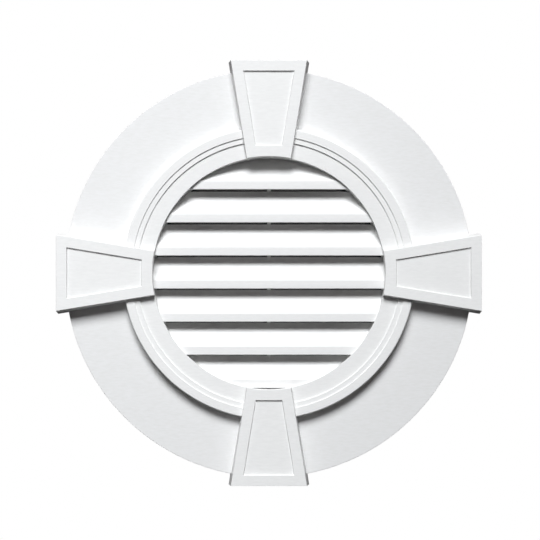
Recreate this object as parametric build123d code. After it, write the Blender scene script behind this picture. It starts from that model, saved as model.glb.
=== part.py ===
from build123d import *
import os
from math import cos, radians, sin, tan

# Round gable vent with a flat disc surround, a stepped clip-on ring and four keystones.
# Millimetres. The origin is on the vent's axis in the plane of the wall. The front faces -Y,
# +Z is up, and the collar runs into the wall along +Y.
# A height is a distance off the wall towards the viewer, so it is counted along -Y.

# Louvre moulding: collar and nailing flange
COLLAR_R = 225.4
COLLAR_WALL = 2.8
COLLAR_FRONT_GAP = 0.4
SLEEVE_WALL = 2.0
COLLAR_DEPTH = 36.0
FLANGE_WIDTH = 30.0
FLANGE_THICKNESS = 2.5
NAIL_SLOTS = 8
NAIL_SLOT_WIDTH = 5.0
NAIL_SLOT_LENGTH = 16.0
NAIL_SLOT_FROM_EDGE = 10.0
GUSSET_WALL = 2.5
GUSSET_HEIGHT = 4.5
GUSSET_REACH = 14.0

# Louvre blades and the centre rib behind them
BLADES = 7
BLADE_PITCH = 63.5
BLADE_WALL = 2.5
MIDDLE_LIP_Z = -29.6
LIP_FRONT = 26.0
LIP_HEIGHT = 16.3
BLADE_RUN = 31.0
BLADE_GAP = 2.0
TOP_BLADE_RUN = 38.0
LIP_EDGE = 0.8
RIB_WIDTH = 6.4
RIB_SET_BACK = 1.5
RIB_DEPTH = 12.5

# Insect screen on the collar's back rim, and the heat-staked tabs that hold it
SCREEN_THICKNESS = 0.8
SCREEN_BORDER = 13.0
SCREEN_CELL = 64.0
SCREEN_BAR = 3.0
STAKES = 8
STAKE_LENGTH = 8.0
STAKE_WALL = 1.4
STAKE_CLEARANCE = 0.2
STAKE_HEAD_LIP = 0.7
STAKE_HEAD_THICKNESS = 1.0

# Stepped ring, whose inner edge reaches in over the collar's front rim
RING_COVER = 0.4
INNER_BAND = 31.3
MIDDLE_BAND = 10.5
OUTER_BAND = 15.4
RING_WALL = 2.8
RING_HEIGHT = 38.0
RING_STEP = 2.0
RING_EDGE = 1.8

# Snap tongues of the ring and their grooves in the collar
TONGUES = 8
TONGUE_SPAN = 8.0
TONGUE_WALL = 2.2
TONGUE_GUSSET_GAP = 1.0
SNAP_CLEARANCE = 0.4
TOOTH_DEPTH = 1.1
TOOTH_WIDTH = 3.2
TOOTH_FROM_END = 3.3
GROOVE_SPAN = 9.5

# Flat trim
TRIM_R = 392.5
TRIM_HEIGHT = 16.0
TRIM_WALL = 2.5
TRIM_FLANGE_GAP = 5.0
LUGS = 8
LUG_WALL = 2.0
LUG_HEIGHT = 4.0
LUG_LENGTH = 24.0
TRIM_RIBS = 12
TRIM_RIB_WALL = 2.0

# Keystones
KEYSTONES = ("top", "right", "bottom", "left")
KEY_HEIGHT = 47.0
KEY_OVERHANG = 13.0
KEY_TIP_HALF_WIDTH = 72.6
KEY_SIDE_ANGLE = 9.3
KEY_SIDE_FLARE = 5.0
KEY_TIP_FLARE = 2.5
KEY_WALL = 2.5
KEY_SEAT_CLEARANCE = 0.3
PANEL_BORDER = 20.0
PANEL_DEPTH = 3.5
PANEL_DRAFT = 0.6

# Snap hooks of the keystones and their slots in the flat trim
HOOK_FROM_RING = 20.6
HOOK_FROM_TRIM_EDGE = 27.5
HOOK_WIDTH = 24.0
HOOK_WALL = 2.2
HOOK_BARB = 1.6
HOOK_LENGTH_BEHIND = 4.5
HOOK_CLEARANCE = 0.3

# Radii and heights that follow from the sizes above
COLLAR_BORE = COLLAR_R - COLLAR_WALL
SLEEVE_R = COLLAR_BORE + SLEEVE_WALL
FLANGE_R = COLLAR_R + FLANGE_WIDTH
RING_BORE = COLLAR_BORE - RING_COVER
TONGUE_R = COLLAR_R + SNAP_CLEARANCE
FIRST_STEP_R = RING_BORE + INNER_BAND
SECOND_STEP_R = FIRST_STEP_R + MIDDLE_BAND
RING_R = SECOND_STEP_R + OUTER_BAND
MIDDLE_BAND_HEIGHT = RING_HEIGHT - RING_STEP
INNER_BAND_HEIGHT = MIDDLE_BAND_HEIGHT - RING_STEP
COLLAR_FRONT = INNER_BAND_HEIGHT - RING_WALL - COLLAR_FRONT_GAP
TONGUE_END = FLANGE_THICKNESS + GUSSET_HEIGHT + TONGUE_GUSSET_GAP
TRIM_BORE = FLANGE_R + TRIM_FLANGE_GAP
KEY_TIP_R = TRIM_R + KEY_OVERHANG
INNER_HOOK_R = RING_R + HOOK_FROM_RING
OUTER_HOOK_R = TRIM_R - HOOK_FROM_TRIM_EDGE
HOOKS = ((INNER_HOOK_R, -1), (OUTER_HOOK_R, 1))

# Room for tools that cut right through a wall
THROUGH = 10.0


def turned(section, arc=360.0):
    """A solid turned about the vent's axis from a closed section of (radius, height) points."""
    outline = Polyline(*[(radius, -height) for radius, height in section], close=True)
    return revolve(make_face(outline), Axis.Y, revolution_arc=arc)


def disc(radius, low, high):
    """A round slab on the axis between two heights."""
    return turned([(0, low), (radius, low), (radius, high), (0, high)])


def about_axis(shape, angle):
    """The shape carried clockwise round the vent, as seen from the front."""
    return Rot(0, angle, 0) * shape


def round_the_vent(shape, count, first=0.0):
    """Copies of the shape at equal angles round the vent."""
    return [about_axis(shape, first + k * 360.0 / count) for k in range(count)]


def sector(section, span):
    """Part of a turned ring, of the given span, centred above the axis."""
    return about_axis(turned(section, span), -90.0 - span / 2)


def block(width, low, high, inner, outer):
    """A straight block above the axis: its width across, its two heights and its two radii."""
    middle = Pos(0, -(low + high) / 2, (inner + outer) / 2)
    return middle * Box(width, high - low, outer - inner)


def tooth(end, depth, width):
    """Section of a saw tooth inside a tongue: ramp towards the wall, catch towards the front."""
    return [(TONGUE_R, end), (TONGUE_R - depth, end + width), (TONGUE_R, end + width)]


def blade(lip_z, run):
    """One blade: an upright lip in front, then a slope that rises inwards to shed the rain."""
    slope = (BLADE_PITCH - LIP_HEIGHT - BLADE_GAP) / BLADE_RUN
    rise = run * slope
    back_z = BLADE_WALL / (1 + slope**2) ** 0.5
    back_y = back_z * slope
    fold_z = LIP_HEIGHT - back_z + (BLADE_WALL - back_y) * slope
    profile = Polyline(
        (-LIP_FRONT, 0),
        (-LIP_FRONT, LIP_HEIGHT),
        (-LIP_FRONT + run, LIP_HEIGHT + rise),
        (-LIP_FRONT + run + back_y, LIP_HEIGHT + rise - back_z),
        (-LIP_FRONT + BLADE_WALL, fold_z),
        (-LIP_FRONT + BLADE_WALL, 0),
        close=True,
    )
    section = make_face(profile)
    front = section.vertices().filter_by(lambda v: abs(v.X + LIP_FRONT) < 1e-6)
    section = chamfer(front, LIP_EDGE)
    return Pos(0, 0, lip_z) * extrude(Plane.YZ * section, COLLAR_R, both=True)


def louvres():
    """All the blades and the centre rib, trimmed round to root in the collar's wall."""
    middle = (BLADES - 1) / 2
    lips = [MIDDLE_LIP_Z + (middle - k) * BLADE_PITCH for k in range(BLADES)]
    runs = [TOP_BLADE_RUN] + [BLADE_RUN] * (BLADES - 1)
    rib = Pos(0, RIB_SET_BACK + RIB_DEPTH / 2, 0) * Box(RIB_WIDTH, RIB_DEPTH, 2 * COLLAR_R)
    round_edge = disc(COLLAR_R - COLLAR_WALL / 2, -COLLAR_DEPTH, COLLAR_FRONT)
    return [blade(z, run) & round_edge for z, run in zip(lips, runs)] + [rib & round_edge]


def stake_radii():
    """Inner and outer radius of a stake, in the middle of the collar's back rim."""
    middle = (COLLAR_BORE + SLEEVE_R) / 2
    return middle - STAKE_WALL / 2, middle + STAKE_WALL / 2


def louver_body():
    """Collar, nailing flange with nail slots and gussets, blades, snap grooves and stakes."""
    collar = turned([
        (COLLAR_BORE, COLLAR_FRONT),
        (COLLAR_R, COLLAR_FRONT),
        (COLLAR_R, FLANGE_THICKNESS),
        (FLANGE_R, FLANGE_THICKNESS),
        (FLANGE_R, 0),
        (SLEEVE_R, 0),
        (SLEEVE_R, -COLLAR_DEPTH),
        (COLLAR_BORE, -COLLAR_DEPTH),
    ])
    gusset_root = COLLAR_R - COLLAR_WALL / 2
    gusset_outline = Polyline(
        (-FLANGE_THICKNESS / 2, gusset_root),
        (-FLANGE_THICKNESS - GUSSET_HEIGHT, gusset_root),
        (-FLANGE_THICKNESS - GUSSET_HEIGHT, COLLAR_R),
        (-FLANGE_THICKNESS, COLLAR_R + GUSSET_REACH),
        (-FLANGE_THICKNESS / 2, COLLAR_R + GUSSET_REACH),
        close=True,
    )
    gusset = extrude(Plane.YZ * make_face(gusset_outline), GUSSET_WALL / 2, both=True)
    inner, outer = stake_radii()
    head_seat = -COLLAR_DEPTH - SCREEN_THICKNESS
    head_length = STAKE_LENGTH + 2 * STAKE_HEAD_LIP
    stake = block(STAKE_LENGTH, head_seat, STAKE_WALL - COLLAR_DEPTH, inner, outer)
    head = block(head_length, head_seat - STAKE_HEAD_THICKNESS, head_seat, inner - STAKE_HEAD_LIP, outer)
    body = collar + louvres()
    body += round_the_vent(gusset, NAIL_SLOTS)
    body += round_the_vent(stake + head, STAKES, 180.0 / STAKES)
    slot_outer = FLANGE_R - NAIL_SLOT_FROM_EDGE
    slot = block(NAIL_SLOT_LENGTH, -THROUGH, THROUGH, slot_outer - NAIL_SLOT_WIDTH, slot_outer)
    body -= round_the_vent(slot, NAIL_SLOTS, 180.0 / NAIL_SLOTS)
    groove = tooth(TONGUE_END + TOOTH_FROM_END, TOOTH_DEPTH + SNAP_CLEARANCE, TOOTH_WIDTH + SNAP_CLEARANCE)
    return body - round_the_vent(sector(groove, GROOVE_SPAN), TONGUES, 180.0 / TONGUES)


def insect_screen():
    """A thin round sheet with a grid of square openings, notched at its rim for the stakes."""
    low = -COLLAR_DEPTH - SCREEN_THICKNESS
    inner, outer = stake_radii()
    sheet = disc(outer, low, -COLLAR_DEPTH)
    open_r = outer - SCREEN_BORDER
    cells = int(open_r / SCREEN_CELL) + 1
    side = SCREEN_CELL - SCREEN_BAR
    middles = [(k + 0.5) * SCREEN_CELL for k in range(-cells, cells)]
    holes = []
    for x in middles:
        for z in middles:
            far_corner = Vector(abs(x) + side / 2, 0, abs(z) + side / 2)
            if far_corner.length < open_r:
                holes.append(Pos(x, COLLAR_DEPTH, z) * Box(side, THROUGH, side))
    notch_width = STAKE_LENGTH + 2 * STAKE_CLEARANCE
    notch_floor = inner - STAKE_CLEARANCE
    notch = block(notch_width, low - THROUGH, THROUGH - COLLAR_DEPTH, notch_floor, outer + THROUGH)
    return sheet - holes - round_the_vent(notch, STAKES, 180.0 / STAKES)


def trim_ring():
    """Hollow stepped ring with snap tongues that reach back over the collar."""
    under = INNER_BAND_HEIGHT - RING_WALL
    ring = turned([
        (RING_R, TRIM_HEIGHT),
        (RING_R, RING_HEIGHT - RING_EDGE),
        (RING_R - RING_EDGE, RING_HEIGHT),
        (SECOND_STEP_R, RING_HEIGHT),
        (SECOND_STEP_R, MIDDLE_BAND_HEIGHT),
        (FIRST_STEP_R, MIDDLE_BAND_HEIGHT),
        (FIRST_STEP_R, INNER_BAND_HEIGHT),
        (RING_BORE, INNER_BAND_HEIGHT),
        (RING_BORE, under),
        (RING_R - RING_WALL, under),
        (RING_R - RING_WALL, TRIM_HEIGHT),
    ])
    root = under + RING_WALL / 2
    tongue_outer = TONGUE_R + TONGUE_WALL
    leg = [(TONGUE_R, root), (tongue_outer, root), (tongue_outer, TONGUE_END), (TONGUE_R, TONGUE_END)]
    barb = tooth(TONGUE_END + TOOTH_FROM_END, TOOTH_DEPTH, TOOTH_WIDTH)
    tongue = sector(leg + barb, TONGUE_SPAN)
    return ring + round_the_vent(tongue, TONGUES, 180.0 / TONGUES)


def hook_slot(distance, side):
    """Slot for one hook: narrow on the catch side, with room behind for the leg to bend."""
    back = distance - side * (HOOK_BARB + HOOK_CLEARANCE)
    catch = distance + side * (HOOK_WALL + HOOK_CLEARANCE)
    width = HOOK_WIDTH + 2 * HOOK_CLEARANCE
    return block(width, -THROUGH, TRIM_HEIGHT + THROUGH, min(back, catch), max(back, catch))


def flat_trim():
    """Shallow disc surround: face, outer return wall, back ribs, locating lugs and hook slots."""
    under = TRIM_HEIGHT - TRIM_WALL
    trim = turned([
        (TRIM_BORE, under),
        (TRIM_BORE, TRIM_HEIGHT),
        (TRIM_R, TRIM_HEIGHT),
        (TRIM_R, 0),
        (TRIM_R - TRIM_WALL, 0),
        (TRIM_R - TRIM_WALL, under),
    ])
    into_face = under + TRIM_WALL / 2
    rib = block(TRIM_RIB_WALL, 0, into_face, TRIM_BORE + TRIM_WALL, TRIM_R - TRIM_WALL / 2)
    trim += round_the_vent(rib, TRIM_RIBS, 180.0 / TRIM_RIBS)
    lug_corner_r = RING_R - RING_WALL - SNAP_CLEARANCE
    lug_outer = (lug_corner_r**2 - (LUG_LENGTH / 2) ** 2) ** 0.5
    lug = block(LUG_LENGTH, into_face, TRIM_HEIGHT + LUG_HEIGHT, lug_outer - LUG_WALL, lug_outer)
    trim += round_the_vent(lug, LUGS, 180.0 / LUGS)
    for distance, side in HOOKS:
        trim -= round_the_vent(hook_slot(distance, side), len(KEYSTONES))
    return trim


def wedge(height, inset, tip, root):
    """Corners of a keystone at one height: its sides are moved in by the inset, its ends are flat."""
    side_step = inset / cos(radians(KEY_SIDE_ANGLE))
    slope = tan(radians(KEY_SIDE_ANGLE))
    tip_half = KEY_TIP_HALF_WIDTH - (KEY_TIP_R - tip) * slope - side_step
    root_half = KEY_TIP_HALF_WIDTH - (KEY_TIP_R - root) * slope - side_step
    corners = [(-tip_half, tip), (tip_half, tip), (root_half, root), (-root_half, root)]
    return [Vector(x, -height, z) for x, z in corners]


def between(low, high):
    """The flat-sided solid between two sets of corners, listed in the same order."""
    ends = [Face(Wire.make_polygon(low)), Face(Wire.make_polygon(high))]
    sides = [Face(Wire.make_polygon([low[k - 1], low[k], high[k], high[k - 1]])) for k in range(len(low))]
    return Solid(Shell(ends + sides))


def hook(distance, side, root):
    """Snap leg from the keystone's panel through the flat trim, with its barb behind the face."""
    under = TRIM_HEIGHT - TRIM_WALL
    catch = under - HOOK_CLEARANCE
    end = under - HOOK_LENGTH_BEHIND
    outline = Polyline(
        (-root, distance),
        (-end, distance),
        (-end, distance + side * HOOK_WALL / 2),
        (-catch, distance + side * (HOOK_WALL + HOOK_BARB)),
        (-catch, distance + side * HOOK_WALL),
        (-root, distance + side * HOOK_WALL),
        close=True,
    )
    return extrude(Plane.YZ * make_face(outline), HOOK_WIDTH / 2, both=True)


def keystone():
    """The top keystone: a tapered shell with a sunken panel, scribed to the ring and the trim."""
    root = RING_BORE / 2
    outside = between(
        wedge(0, -KEY_SIDE_FLARE, KEY_TIP_R + KEY_TIP_FLARE, root),
        wedge(KEY_HEIGHT, 0, KEY_TIP_R, root),
    )
    cavity = between(
        wedge(0, KEY_WALL - KEY_SIDE_FLARE, KEY_TIP_R + KEY_TIP_FLARE - KEY_WALL, root),
        wedge(KEY_HEIGHT - KEY_WALL, KEY_WALL, KEY_TIP_R - KEY_WALL, root),
    )
    floor = KEY_HEIGHT - PANEL_DEPTH
    panel_tip = KEY_TIP_R - PANEL_BORDER
    panel_root = RING_BORE + PANEL_BORDER
    recess = between(
        wedge(floor, PANEL_BORDER + PANEL_DRAFT, panel_tip - PANEL_DRAFT, panel_root + PANEL_DRAFT),
        wedge(KEY_HEIGHT, PANEL_BORDER, panel_tip, panel_root),
    )
    tray_border = (PANEL_BORDER - KEY_WALL, panel_tip + KEY_WALL, panel_root - KEY_WALL)
    tray = between(wedge(floor - KEY_WALL, *tray_border), wedge(KEY_HEIGHT, *tray_border))
    bore = disc(RING_BORE, -THROUGH, KEY_HEIGHT + THROUGH)
    bore_wall = disc(RING_BORE + KEY_WALL, -THROUGH, KEY_HEIGHT + THROUGH)
    cavity = cavity - bore_wall - tray
    shell = outside - bore - cavity - recess
    gap = KEY_SEAT_CLEARANCE
    behind = turned([
        (0, -THROUGH),
        (TRIM_R + gap, -THROUGH),
        (TRIM_R + gap, TRIM_HEIGHT),
        (RING_R + gap, TRIM_HEIGHT),
        (RING_R + gap, RING_HEIGHT + gap),
        (SECOND_STEP_R - gap, RING_HEIGHT + gap),
        (SECOND_STEP_R - gap, MIDDLE_BAND_HEIGHT + gap),
        (FIRST_STEP_R - gap, MIDDLE_BAND_HEIGHT + gap),
        (FIRST_STEP_R - gap, INNER_BAND_HEIGHT + gap),
        (0, INNER_BAND_HEIGHT + gap),
    ])
    hooks = [hook(distance, side, floor - KEY_WALL / 2) for distance, side in HOOKS]
    return shell - behind + hooks


def build():
    """Every piece of the vent by its name."""
    pieces = {
        "louver_body": louver_body(),
        "insect_screen": insect_screen(),
        "trim_ring": trim_ring(),
        "flat_trim": flat_trim(),
    }
    key = keystone()
    for place, copy in zip(KEYSTONES, round_the_vent(key, len(KEYSTONES))):
        pieces["keystone_" + place] = copy
    return pieces


os.makedirs("parts", exist_ok=True)
for name, piece in build().items():
    export_step(piece, f"parts/{name}.step")
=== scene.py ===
from math import cos, radians, sin, sqrt

import bmesh
import bpy
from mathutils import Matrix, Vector


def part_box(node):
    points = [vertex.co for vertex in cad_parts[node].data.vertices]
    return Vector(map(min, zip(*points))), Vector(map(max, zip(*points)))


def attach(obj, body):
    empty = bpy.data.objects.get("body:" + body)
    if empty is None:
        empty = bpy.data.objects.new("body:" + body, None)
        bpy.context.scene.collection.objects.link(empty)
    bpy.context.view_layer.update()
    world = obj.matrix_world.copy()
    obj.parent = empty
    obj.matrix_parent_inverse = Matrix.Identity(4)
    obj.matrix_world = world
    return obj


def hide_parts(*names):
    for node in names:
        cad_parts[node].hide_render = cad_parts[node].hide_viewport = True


# Looks of a round gable vent: a white moulded disc surround, a stepped ring, four keystones,
# sloping louvres and an insect screen behind them. Metres, the front faces -Y and +Z is up.

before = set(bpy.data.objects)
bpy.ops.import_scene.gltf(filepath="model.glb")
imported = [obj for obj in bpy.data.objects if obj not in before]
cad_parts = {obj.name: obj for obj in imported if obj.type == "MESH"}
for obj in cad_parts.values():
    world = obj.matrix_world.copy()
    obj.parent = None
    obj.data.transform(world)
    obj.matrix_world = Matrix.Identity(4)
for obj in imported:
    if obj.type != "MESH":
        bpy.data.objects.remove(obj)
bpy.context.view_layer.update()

MM = 0.001
FULL_TURN = radians(360)
QUARTER_TURN = radians(90)

# Stepped ring: radii and heights off the wall in millimetres
RING_R = 279.4
OUTER_BAND_R = 262.4
MIDDLE_BAND_R = 252.4
RING_BORE = 222.2
RING_WALL = 2.8
RING_BACK = 16.0
OUTER_BAND_HEIGHT = 38.0
MIDDLE_BAND_HEIGHT = 35.6
INNER_BAND_HEIGHT = 32.7
RING_UNDER = 31.2
RING_SEGMENTS = 240

# Snap tongues behind the ring, rooted a little way into it, in millimetres
TONGUES = 8
TONGUE_R = 225.8
TONGUE_WALL = 2.2
TONGUE_ROOT = RING_UNDER + 1
TONGUE_END = 8.0
TONGUE_SPAN = radians(8)
TONGUE_SEGMENTS = 6
BARB_DEPTH = 1.1
BARB_FROM_END = 3.3
BARB_WIDTH = 3.2

# Rounding of moulded edges: widths in millimetres, and how many facets each round has
RING_RIM_ROUND = 2.6
RING_RIM_FACETS = 5
RING_STEP_ROUND = 0.15
RING_BORE_ROUND = 1.0
RING_BORE_FACETS = 3
DISC_EDGE_ROUND = 0.8
BODY_EDGE_ROUND = 0.35
KEYSTONE_FRONT_ROUND = 1.0
KEYSTONE_FRONT_FACETS = 3
KEYSTONE_EDGE_ROUND = 0.15
FINE_FACETS = 2

# Edges sharper than this are rounded, and gentler ones are shaded smooth
SHARP_FROM = radians(32)
KEYSTONE_SHARP_FROM = radians(40)
SMOOTH_UP_TO = radians(50)

# Merging of a copied mesh, and how near a corner lies to the place it is picked by
SAME_PLACE = 0.01 * MM
SAME_PLANE = radians(0.3)
NEAR = 0.05 * MM

# Keystones: the way each one points, and how far in from its two ends the outline's corners lie
KEYSTONES = {
    "top": (0, 0, 1),
    "right": (1, 0, 0),
    "bottom": (0, 0, -1),
    "left": (-1, 0, 0),
}
KEYSTONE_ROOT_CORNERS = 12
KEYSTONE_TIP_CORNERS = 8

# Sunken panel of a keystone: depth, middle, half sizes, and how much further its walls lean
PANEL_DEPTH = 3.5
PANEL_MIDDLE_R = 313.8
PANEL_HALF_LENGTH = 72.0
PANEL_HALF_WIDTH = 32.0
WALL_LEAN = 0.5

# Insect screen: yarn spacing and thickness, and the welded rim, in millimetres
YARN_PITCH = 1.8
YARN_THICKNESS = 0.4
YARN_SIDES = 5
SCREEN_RIM = 9.0
SCREEN_SEGMENTS = 144

# White of the mouldings and of the disc, each from its darkest streak to its lightest
MOULDED_WHITE = ("#ECECEB", "#F1F1F0")
DISC_WHITE = ("#E7E7E6", "#ECECEC")

# Finish of the mouldings: streaks 12.5 mm long and 3 mm high, as steps of the pattern in a metre
ASA_ROUGHNESS = 0.46
ASA_IOR = 1.5
STREAK_SCALE = (80.0, 80.0, 330.0)
STREAK_DETAIL = 3.0
STREAK_DARKEST = 0.3
STREAK_LIGHTEST = 0.7
STREAK_DEPTH = 0.1 * MM
STREAK_STRENGTH = 0.1

# Finish of the yarn: charcoal, mottled every 2.5 mm
VINYL_ROUGHNESS = 0.55
VINYL_DARK = "#2E2F31"
VINYL_LIGHT = "#3E3F42"
MOTTLE_SCALE = 400.0
MOTTLE_DETAIL = 2.0

# Camera: distance from the wall, place below the vent's axis, and the framing
CAMERA_DISTANCE = 2.75
CAMERA_BELOW = 0.07
SENSOR = 36.0
PHOTO_SIZE = 540
FOCAL_PX = 1420.0
AXIS_PX = (268.4, 273.1)

# Gridded softbox above in front, a little to the left, aimed further left and low
SOFTBOX_ELEVATION = radians(39.5)
SOFTBOX_AZIMUTH = radians(-8)
SOFTBOX_DISTANCE = 9.0
SOFTBOX_WIDTH = 4.85
SOFTBOX_HEIGHT = 3.7
SOFTBOX_POWER = 432.0
SOFTBOX_AIM = (-3.2, 0, -1.6)
SOFTBOX_SPREAD = radians(100)
SOFTBOX_TINT = "#FBFDFF"

# Weak light low in front
LOW_PLACE = (0, -3.2, -2.4)
LOW_SIZE = 2.5
LOW_POWER = 6.0
LOW_TINT = "#FFF4F3"

# Small light above behind: it shines along the blades' slope, so little comes through them
BACK_PLACE = (0, 2.26, 3.3)
BACK_SIZE = 0.45
BACK_POWER = 50.0

# Two weak lights at the sides: a little behind the disc, which keeps them off the front
SIDE_PLACES = ((-3.0, 0.6, 0.2), (3.0, 0.6, 0.2))
SIDE_SIZE = 0.9
SIDE_POWER = 5.0

# Pale paper floor below the picture, as it is seen and as it sends light back up
FLOOR_SIZE = 7.6
FLOOR_PLACE = (0, -0.5, -1.2)
PAPER_SEEN = "#E8E8E6"
PAPER_LIT = "#404040"

# White room with little light of its own, and painted shade: a dark patch straight behind the
# opening, which the camera sees through the louvre gaps
ROOM_WHITE = "#FFFFFF"
ROOM_TINT = "#FFEFEE"
ROOM_LIGHT = 0.044
PAINTED_GAP_SHADE = "#302D2E"
DARK_WAY = radians(1.5)
DARK_INSIDE = radians(4.8)
DARK_OUTSIDE = radians(6.2)


def deselect_all():
    """Nothing selected and nothing active, so that an operator acts only on what is made next."""
    if bpy.context.mode != "OBJECT":
        bpy.ops.object.mode_set(mode="OBJECT")
    bpy.ops.object.select_all(action="DESELECT")
    bpy.context.view_layer.objects.active = None


def only(piece):
    """Makes the piece the one that is selected and active."""
    deselect_all()
    piece.select_set(True)
    bpy.context.view_layer.objects.active = piece


def settle(piece):
    """Moves the piece's place, turn and scale into its mesh."""
    only(piece)
    bpy.ops.object.transform_apply(location=True, rotation=True, scale=True)


def all_of_it(piece):
    """Opens the piece's mesh for editing, with everything selected."""
    only(piece)
    bpy.ops.object.mode_set(mode="EDIT")
    bpy.ops.mesh.select_all(action="SELECT")


def pick_edges(piece, test):
    """Opens the piece's mesh for editing, with the edges whose two ends pass the test selected."""
    only(piece)
    bpy.ops.object.mode_set(mode="EDIT")
    bpy.ops.mesh.select_mode(type="EDGE")
    bpy.ops.mesh.select_all(action="DESELECT")
    mesh = bmesh.from_edit_mesh(piece.data)
    for edge in mesh.edges:
        edge.select_set(all(test(corner.co) for corner in edge.verts))
    mesh.select_flush_mode()
    bmesh.update_edit_mesh(piece.data)


def round_picked(width, facets):
    """Rounds the picked edges to a width in millimetres and ends the editing."""
    bpy.ops.mesh.bevel(offset=width * MM, offset_type="OFFSET", segments=facets, affect="EDGES")
    bpy.ops.object.mode_set(mode="OBJECT")


def face_outwards():
    """Turns every face of the mesh that is being edited outwards."""
    bpy.ops.mesh.select_all(action="SELECT")
    bpy.ops.mesh.normals_make_consistent(inside=False)


def join(piece, others):
    """Joins other meshes into the piece."""
    deselect_all()
    for other in others:
        other.select_set(True)
    piece.select_set(True)
    bpy.context.view_layer.objects.active = piece
    bpy.ops.object.join()


def add_modifier(piece, kind, **settings):
    """Adds a modifier with its settings and applies it."""
    only(piece)
    modifier = piece.modifiers.new(kind.lower(), kind)
    for key, value in settings.items():
        setattr(modifier, key, value)
    bpy.ops.object.modifier_apply(modifier=modifier.name)


def round_sharp_edges(piece, width, sharp_from):
    """Rounds the edges sharper than an angle to a width in millimetres."""
    add_modifier(
        piece,
        "BEVEL",
        width=width * MM,
        segments=FINE_FACETS,
        limit_method="ANGLE",
        angle_limit=sharp_from,
    )


def even_shading(piece):
    """Smooth over the rounded edges, while the flats keep their own normals."""
    only(piece)
    bpy.ops.object.shade_smooth_by_angle(angle=SMOOTH_UP_TO)
    add_modifier(piece, "WEIGHTED_NORMAL", keep_sharp=True)


def copy_of(node, name):
    """A copy of a CAD node, its loose triangles merged into one closed mesh."""
    piece = bpy.data.objects.new(name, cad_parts[node].data.copy())
    bpy.context.scene.collection.objects.link(piece)
    all_of_it(piece)
    bpy.ops.mesh.remove_doubles(threshold=SAME_PLACE)
    bpy.ops.mesh.dissolve_limited(angle_limit=SAME_PLANE)
    bpy.ops.object.mode_set(mode="OBJECT")
    return piece


def rounded_copy(node, name, width):
    """A copy of a CAD node with its sharp edges rounded."""
    piece = copy_of(node, name)
    round_sharp_edges(piece, width, SHARP_FROM)
    even_shading(piece)
    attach(piece, "root")
    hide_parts(node)
    return piece


def keystone(side, towards):
    """A keystone shell: its front outline well rounded, the sunken panel's edges kept crisp."""
    out = Vector(towards)
    low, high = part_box("keystone_" + side)
    front = low.y
    root, tip = sorted((abs(low.dot(out)), abs(high.dot(out))))
    panel_from = root + KEYSTONE_ROOT_CORNERS * MM
    panel_to = tip - KEYSTONE_TIP_CORNERS * MM
    piece = copy_of("keystone_" + side, "keystone_shell_" + side)
    pick_edges(
        piece,
        lambda place: place.y < front + NEAR and not panel_from < place.dot(out) < panel_to,
    )
    round_picked(KEYSTONE_FRONT_ROUND, KEYSTONE_FRONT_FACETS)
    floor_y = front + PANEL_DEPTH * MM
    pick_edges(piece, lambda place: abs(place.y - floor_y) < NEAR)
    short = 1 - WALL_LEAN / PANEL_HALF_LENGTH
    narrow = 1 - WALL_LEAN / PANEL_HALF_WIDTH
    middle = out * PANEL_MIDDLE_R * MM
    bpy.ops.transform.resize(
        value=(short if out.x else narrow, 1, short if out.z else narrow),
        center_override=(middle.x, floor_y, middle.z),
    )
    bpy.ops.object.mode_set(mode="OBJECT")
    round_sharp_edges(piece, KEYSTONE_EDGE_ROUND, KEYSTONE_SHARP_FROM)
    even_shading(piece)
    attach(piece, "root")
    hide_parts("keystone_" + side)
    return piece


def drawn(name, corners):
    """A closed outline above the axis, drawn corner by corner from (radius, height) in mm."""
    places = [Vector((0, -height * MM, radius * MM)) for radius, height in corners]
    deselect_all()
    bpy.ops.mesh.primitive_plane_add(size=MM, location=places[0])
    piece = bpy.context.object
    piece.name = name
    settle(piece)
    all_of_it(piece)
    bpy.ops.mesh.merge(type="CENTER")
    for here, there in zip(places, places[1:]):
        bpy.ops.mesh.extrude_vertices_move(TRANSFORM_OT_translate={"value": there - here})
    bpy.ops.mesh.select_all(action="SELECT")
    bpy.ops.mesh.edge_face_add()
    return piece


def spin(steps, angle):
    """Sweeps what is selected round the vent's axis."""
    bpy.ops.mesh.spin(steps=steps, angle=angle, center=(0, 0, 0), axis=(0, 1, 0))


def round_turned_edge(piece, radius, height, width, facets):
    """Rounds the turned edge at a radius and a height, all in millimetres."""
    pick_edges(
        piece,
        lambda place: abs(sqrt(place.x**2 + place.z**2) - radius * MM) < NEAR
        and abs(place.y + height * MM) < NEAR,
    )
    round_picked(width, facets)


def snap_tongue(angle):
    """One tongue with its barb, swept round the axis from its section."""
    barb_low = TONGUE_END + BARB_FROM_END
    barb_high = TONGUE_END + BARB_FROM_END + BARB_WIDTH
    tongue = drawn("tongue", [
        (TONGUE_R, TONGUE_ROOT),
        (TONGUE_R + TONGUE_WALL, TONGUE_ROOT),
        (TONGUE_R + TONGUE_WALL, TONGUE_END),
        (TONGUE_R, TONGUE_END),
        (TONGUE_R, barb_low),
        (TONGUE_R - BARB_DEPTH, barb_high),
        (TONGUE_R, barb_high),
    ])
    spin(TONGUE_SEGMENTS, TONGUE_SPAN)
    face_outwards()
    bpy.ops.transform.rotate(
        value=angle - TONGUE_SPAN / 2, orient_axis="Y", center_override=(0, 0, 0)
    )
    bpy.ops.object.mode_set(mode="OBJECT")
    return tongue


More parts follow.
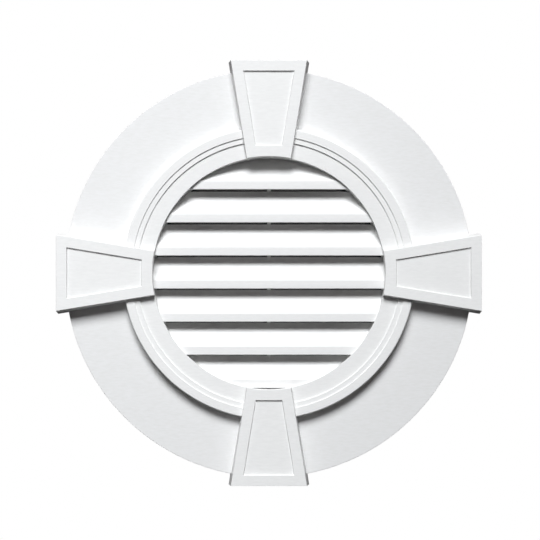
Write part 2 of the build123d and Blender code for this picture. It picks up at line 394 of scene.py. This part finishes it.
def stepped_ring():
    """The hollow ring with its two steps, turned from its section, and the tongues behind it."""
    ring = drawn("stepped_ring", [
        (RING_R, RING_BACK),
        (RING_R, OUTER_BAND_HEIGHT),
        (OUTER_BAND_R, OUTER_BAND_HEIGHT),
        (OUTER_BAND_R, MIDDLE_BAND_HEIGHT),
        (MIDDLE_BAND_R, MIDDLE_BAND_HEIGHT),
        (MIDDLE_BAND_R, INNER_BAND_HEIGHT),
        (RING_BORE, INNER_BAND_HEIGHT),
        (RING_BORE, RING_UNDER),
        (RING_R - RING_WALL, RING_UNDER),
        (RING_R - RING_WALL, RING_BACK),
    ])
    bpy.ops.mesh.delete(type="ONLY_FACE")
    bpy.ops.mesh.select_all(action="SELECT")
    spin(RING_SEGMENTS, FULL_TURN)
    bpy.ops.mesh.select_all(action="SELECT")
    bpy.ops.mesh.remove_doubles(threshold=SAME_PLACE)
    bpy.ops.mesh.normals_make_consistent(inside=False)
    bpy.ops.object.mode_set(mode="OBJECT")
    round_turned_edge(ring, RING_R, OUTER_BAND_HEIGHT, RING_RIM_ROUND, RING_RIM_FACETS)
    round_turned_edge(ring, OUTER_BAND_R, OUTER_BAND_HEIGHT, RING_STEP_ROUND, FINE_FACETS)
    round_turned_edge(ring, MIDDLE_BAND_R, MIDDLE_BAND_HEIGHT, RING_STEP_ROUND, FINE_FACETS)
    round_turned_edge(ring, RING_BORE, INNER_BAND_HEIGHT, RING_BORE_ROUND, RING_BORE_FACETS)
    tongues = [snap_tongue((k + 0.5) * FULL_TURN / TONGUES) for k in range(TONGUES)]
    join(ring, tongues)
    even_shading(ring)
    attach(ring, "root")
    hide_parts("trim_ring")
    return ring


def insect_screen():
    """Straight yarns both ways, one layer on the other, welded to a flat rim."""
    low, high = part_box("insect_screen")
    outer = high.x
    inner = outer - SCREEN_RIM * MM
    reach = (outer + inner) / 2
    deselect_all()
    bpy.ops.mesh.primitive_circle_add(
        radius=inner,
        vertices=SCREEN_SEGMENTS,
        location=(0, low.y, 0),
        rotation=(QUARTER_TURN, 0, 0),
    )
    piece = bpy.context.object
    piece.name = "insect_mesh"
    settle(piece)
    all_of_it(piece)
    bpy.ops.mesh.extrude_edges_move()
    bpy.ops.transform.resize(
        value=(outer / inner, 1, outer / inner), center_override=(0, low.y, 0)
    )
    bpy.ops.mesh.select_all(action="SELECT")
    bpy.ops.mesh.extrude_region_move(
        TRANSFORM_OT_translate={"value": (0, high.y - low.y, 0)}
    )
    middle = (low.y + high.y) / 2
    yarn_r = YARN_THICKNESS * MM / 2
    count = int(reach / (YARN_PITCH * MM))
    for k in range(-count, count + 1):
        across = k * YARN_PITCH * MM
        length = 2 * sqrt(reach**2 - across**2)
        weft = ((0, middle - yarn_r, across), (0, QUARTER_TURN, 0))
        warp = ((across, middle + yarn_r, 0), (0, 0, 0))
        for place, turn in (weft, warp):
            bpy.ops.mesh.primitive_cylinder_add(
                vertices=YARN_SIDES,
                radius=yarn_r,
                depth=length,
                end_fill_type="NOTHING",
                location=place,
                rotation=turn,
            )
    face_outwards()
    bpy.ops.object.mode_set(mode="OBJECT")
    even_shading(piece)
    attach(piece, "root")
    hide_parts("insect_screen")
    return piece


def linear(hex_colour):
    """sRGB hex to linear RGBA."""
    channels = [int(hex_colour[k : k + 2], 16) / 255 for k in (1, 3, 5)]
    return [c / 12.92 if c <= 0.04045 else ((c + 0.055) / 1.055) ** 2.4 for c in channels] + [1.0]


def add_node(tree, kind, settings=None, links=None):
    """Adds a shader node, sets its properties or input values, and links its inputs."""
    node = tree.nodes.new(kind)
    for key, value in (settings or {}).items():
        if isinstance(key, int) or key in node.inputs:
            node.inputs[key].default_value = value
        else:
            setattr(node, key, value)
    for key, source in (links or {}).items():
        tree.links.new(source, node.inputs[key])
    return node


def tree_of(owner):
    """The shader nodes of a material or of the world."""
    owner.use_nodes = True
    return owner.node_tree


def moulded_asa(name, painted_shade_mask, light):
    """ASA, injection moulded in a brushed tool: an even soft white, faintly streaked across."""
    material = bpy.data.materials.new(name)
    tree = tree_of(material)
    shader = tree.nodes["Principled BSDF"]
    shader.inputs["Roughness"].default_value = ASA_ROUGHNESS
    shader.inputs["IOR"].default_value = ASA_IOR
    place = add_node(tree, "ShaderNodeTexCoord").outputs["Object"]
    streaks = add_node(tree, "ShaderNodeMapping", {"Scale": STREAK_SCALE}, {"Vector": place})
    grain = add_node(
        tree,
        "ShaderNodeTexNoise",
        {"Scale": 1.0, "Detail": STREAK_DETAIL},
        {"Vector": streaks.outputs["Vector"]},
    )
    tone = add_node(tree, "ShaderNodeValToRGB", links={"Fac": grain.outputs["Fac"]})
    tone.color_ramp.elements[0].position = STREAK_DARKEST
    tone.color_ramp.elements[0].color = linear(painted_shade_mask)
    tone.color_ramp.elements[1].position = STREAK_LIGHTEST
    tone.color_ramp.elements[1].color = linear(light)
    tree.links.new(tone.outputs["Color"], shader.inputs["Base Color"])
    bump = add_node(
        tree,
        "ShaderNodeBump",
        {"Strength": STREAK_STRENGTH, "Distance": STREAK_DEPTH},
        {"Height": grain.outputs["Fac"]},
    )
    tree.links.new(bump.outputs["Normal"], shader.inputs["Normal"])
    return material


def coated_yarn(name):
    """Vinyl-coated glass yarn: charcoal with a dull sheen."""
    material = bpy.data.materials.new(name)
    tree = tree_of(material)
    shader = tree.nodes["Principled BSDF"]
    shader.inputs["Roughness"].default_value = VINYL_ROUGHNESS
    place = add_node(tree, "ShaderNodeTexCoord").outputs["Object"]
    mottle = add_node(
        tree,
        "ShaderNodeTexNoise",
        {"Scale": MOTTLE_SCALE, "Detail": MOTTLE_DETAIL},
        {"Vector": place},
    )
    tone = add_node(tree, "ShaderNodeValToRGB", links={"Fac": mottle.outputs["Fac"]})
    tone.color_ramp.elements[0].color = linear(VINYL_DARK)
    tone.color_ramp.elements[1].color = linear(VINYL_LIGHT)
    tree.links.new(tone.outputs["Color"], shader.inputs["Base Color"])
    return material


def pale_paper(name):
    """Matte pale grey paper, which sends little light back up."""
    material = bpy.data.materials.new(name)
    tree = tree_of(material)
    tree.nodes.clear()
    seen = add_node(tree, "ShaderNodeBsdfDiffuse", {"Color": linear(PAPER_SEEN)})
    lit = add_node(tree, "ShaderNodeBsdfDiffuse", {"Color": linear(PAPER_LIT)})
    seen_or_lit(tree, seen.outputs["BSDF"], lit.outputs["BSDF"], "ShaderNodeOutputMaterial")
    return material


def seen_or_lit(tree, seen, lit, output):
    """One shader for what the camera sees, and another for the light that is sent on."""
    rays = add_node(tree, "ShaderNodeLightPath")
    choice = {0: rays.outputs["Is Camera Ray"], 1: lit, 2: seen}
    mix = add_node(tree, "ShaderNodeMixShader", links=choice)
    add_node(tree, output, links={"Surface": mix.outputs["Shader"]})


def paint(piece, material):
    """Gives the piece one material."""
    piece.data.materials.clear()
    piece.data.materials.append(material)


def camera():
    """A level camera, its picture shifted up or down to frame the vent as the photograph does."""
    deselect_all()
    bpy.ops.object.camera_add(
        location=(0, -CAMERA_DISTANCE, -CAMERA_BELOW), rotation=(QUARTER_TURN, 0, 0)
    )
    data = bpy.context.object.data
    data.sensor_width = SENSOR
    data.lens = FOCAL_PX / PHOTO_SIZE * SENSOR
    middle = (PHOTO_SIZE - 1) / 2
    level_px = AXIS_PX[1] + FOCAL_PX * CAMERA_BELOW / CAMERA_DISTANCE
    data.shift_x = (middle - AXIS_PX[0]) / PHOTO_SIZE
    data.shift_y = (level_px - middle) / PHOTO_SIZE
    bpy.context.scene.camera = bpy.context.object


def area_light(name, place, size, power, aim=(0, 0, 0), spread=FULL_TURN / 2, tint="#FFFFFF"):
    """An area light of a width and a height, aimed at the vent's middle unless told otherwise."""
    deselect_all()
    bpy.ops.object.light_add(type="AREA", location=place)
    light = bpy.context.object
    light.name = name
    light.rotation_euler = (Vector(aim) - Vector(place)).to_track_quat("-Z", "Y").to_euler()
    light.data.shape = "RECTANGLE"
    light.data.size, light.data.size_y = size
    light.data.energy = power
    light.data.spread = spread
    light.data.color = linear(tint)[:3]


def toward(azimuth, elevation, distance):
    """A place in front of the vent, by its angles from the vent's axis."""
    return (
        distance * sin(azimuth) * cos(elevation),
        -distance * cos(azimuth) * cos(elevation),
        distance * sin(elevation),
    )


def room():
    """A white room with little light of its own, and painted shade straight behind the vent's
    opening, which only the camera sees.
    """
    world = bpy.context.scene.world or bpy.data.worlds.new("studio")
    bpy.context.scene.world = world
    tree = tree_of(world)
    tree.nodes.clear()
    way = add_node(tree, "ShaderNodeTexCoord").outputs["Generated"]
    straight_behind = (0, cos(DARK_WAY), sin(DARK_WAY))
    nearness = add_node(
        tree,
        "ShaderNodeVectorMath",
        {"operation": "DOT_PRODUCT", 1: straight_behind},
        {0: way},
    )
    # Painted shade: the backdrop that the camera sees turns dark in a narrow cone straight behind
    # the opening, so the louvre gaps look shaded
    painted_shade_mask = add_node(
        tree,
        "ShaderNodeMapRange",
        {"interpolation_type": "SMOOTHSTEP", 1: cos(DARK_OUTSIDE), 2: cos(DARK_INSIDE)},
        {0: nearness.outputs["Value"]},
    )
    room_with_painted_shade = add_node(
        tree,
        "ShaderNodeMixRGB",
        {"Color1": linear(ROOM_WHITE), "Color2": linear(PAINTED_GAP_SHADE)},
        {"Fac": painted_shade_mask.outputs["Result"]},
    )
    lit = add_node(
        tree, "ShaderNodeBackground", {"Color": linear(ROOM_TINT), "Strength": ROOM_LIGHT}
    )
    seen = add_node(
        tree, "ShaderNodeBackground", {"Strength": 1.0}, {"Color": room_with_painted_shade.outputs["Color"]}
    )
    seen_or_lit(
        tree, seen.outputs["Background"], lit.outputs["Background"], "ShaderNodeOutputWorld"
    )
    bpy.context.scene.view_settings.view_transform = "Standard"


def studio():
    """A softbox and a weak light in front, small ones behind and at the sides, floor and room."""
    area_light(
        "key_light",
        toward(SOFTBOX_AZIMUTH, SOFTBOX_ELEVATION, SOFTBOX_DISTANCE),
        (SOFTBOX_WIDTH, SOFTBOX_HEIGHT),
        SOFTBOX_POWER,
        SOFTBOX_AIM,
        SOFTBOX_SPREAD,
        SOFTBOX_TINT,
    )
    area_light("low_light", LOW_PLACE, (LOW_SIZE, LOW_SIZE), LOW_POWER, tint=LOW_TINT)
    area_light("back_light", BACK_PLACE, (BACK_SIZE, BACK_SIZE), BACK_POWER)
    for place in SIDE_PLACES:
        area_light("side_light", place, (SIDE_SIZE, SIDE_SIZE), SIDE_POWER)
    deselect_all()
    bpy.ops.mesh.primitive_plane_add(size=FLOOR_SIZE, location=FLOOR_PLACE)
    floor = bpy.context.object
    floor.name = "studio_floor"
    settle(floor)
    paint(floor, pale_paper("pale_paper"))
    room()


camera()
white = moulded_asa("moulded_white_asa", *MOULDED_WHITE)
paint(stepped_ring(), white)
paint(rounded_copy("louver_body", "louvred_body", BODY_EDGE_ROUND), white)
disc_white = moulded_asa("moulded_disc_white_asa", *DISC_WHITE)
paint(rounded_copy("flat_trim", "flat_disc", DISC_EDGE_ROUND), disc_white)
for side, towards in KEYSTONES.items():
    paint(keystone(side, towards), white)
paint(insect_screen(), coated_yarn("coated_glass_yarn"))
studio()
